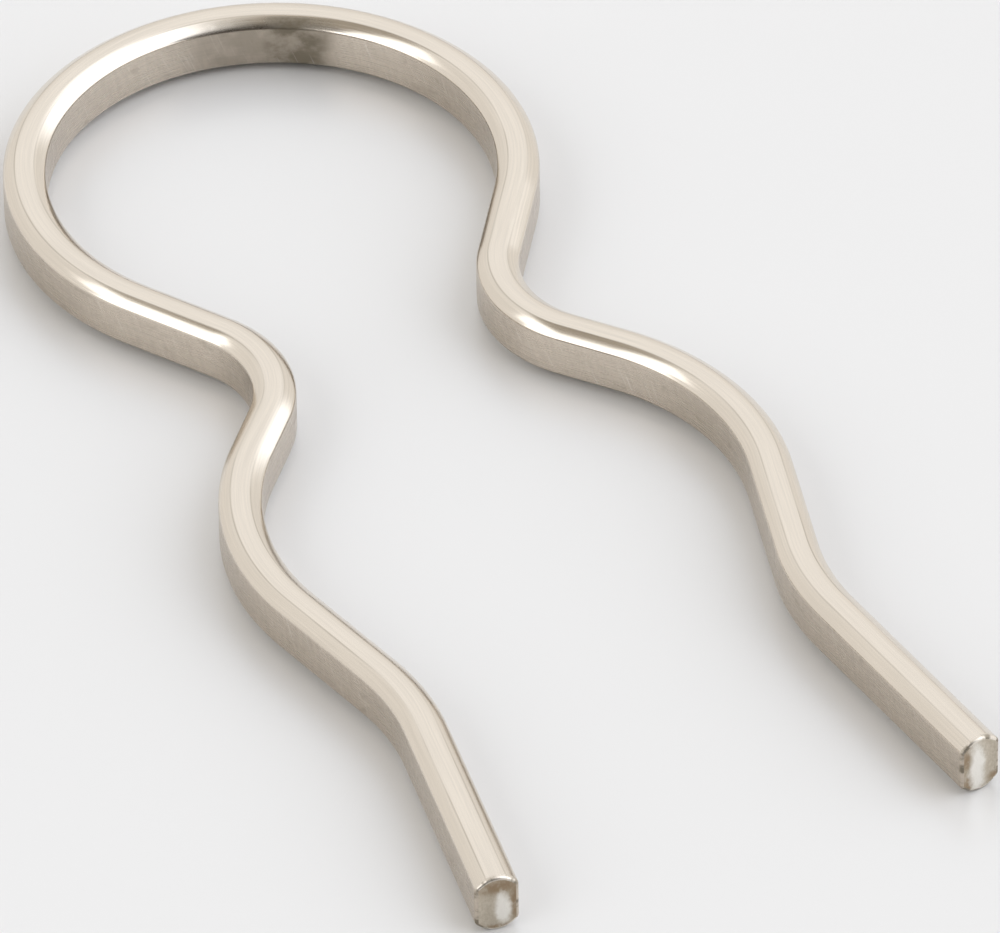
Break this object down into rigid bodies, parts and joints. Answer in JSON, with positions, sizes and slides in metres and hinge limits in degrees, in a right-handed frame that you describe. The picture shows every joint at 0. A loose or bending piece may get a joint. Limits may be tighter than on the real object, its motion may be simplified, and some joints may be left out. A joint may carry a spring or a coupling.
{
  "type": "waved hitch clip",
  "caption": "Flat-lying wire spring clip with a round loop and two mirrored waved legs that snap over a grooved pin or shaft.",
  "frame": {"origin": "centre of the round pin seat between the legs, at mid height of the wire", "axes": "+Z square to the flat of the clip, up as it lies; +Y along the mirror line from the pin seat towards the closed loop; the two cut tips point to -Y"},
  "size_m": [0.0228, 0.0559, 0.0026],
  "materials": {
    "nickel_plated_wire": "bright nickel plate on rolled spring steel wire, softly polished, with a warm grey cast"
  },
  "bodies": {
    "root": {"spring_clip": "nickel_plated_wire"}
  },
  "joints": []
}
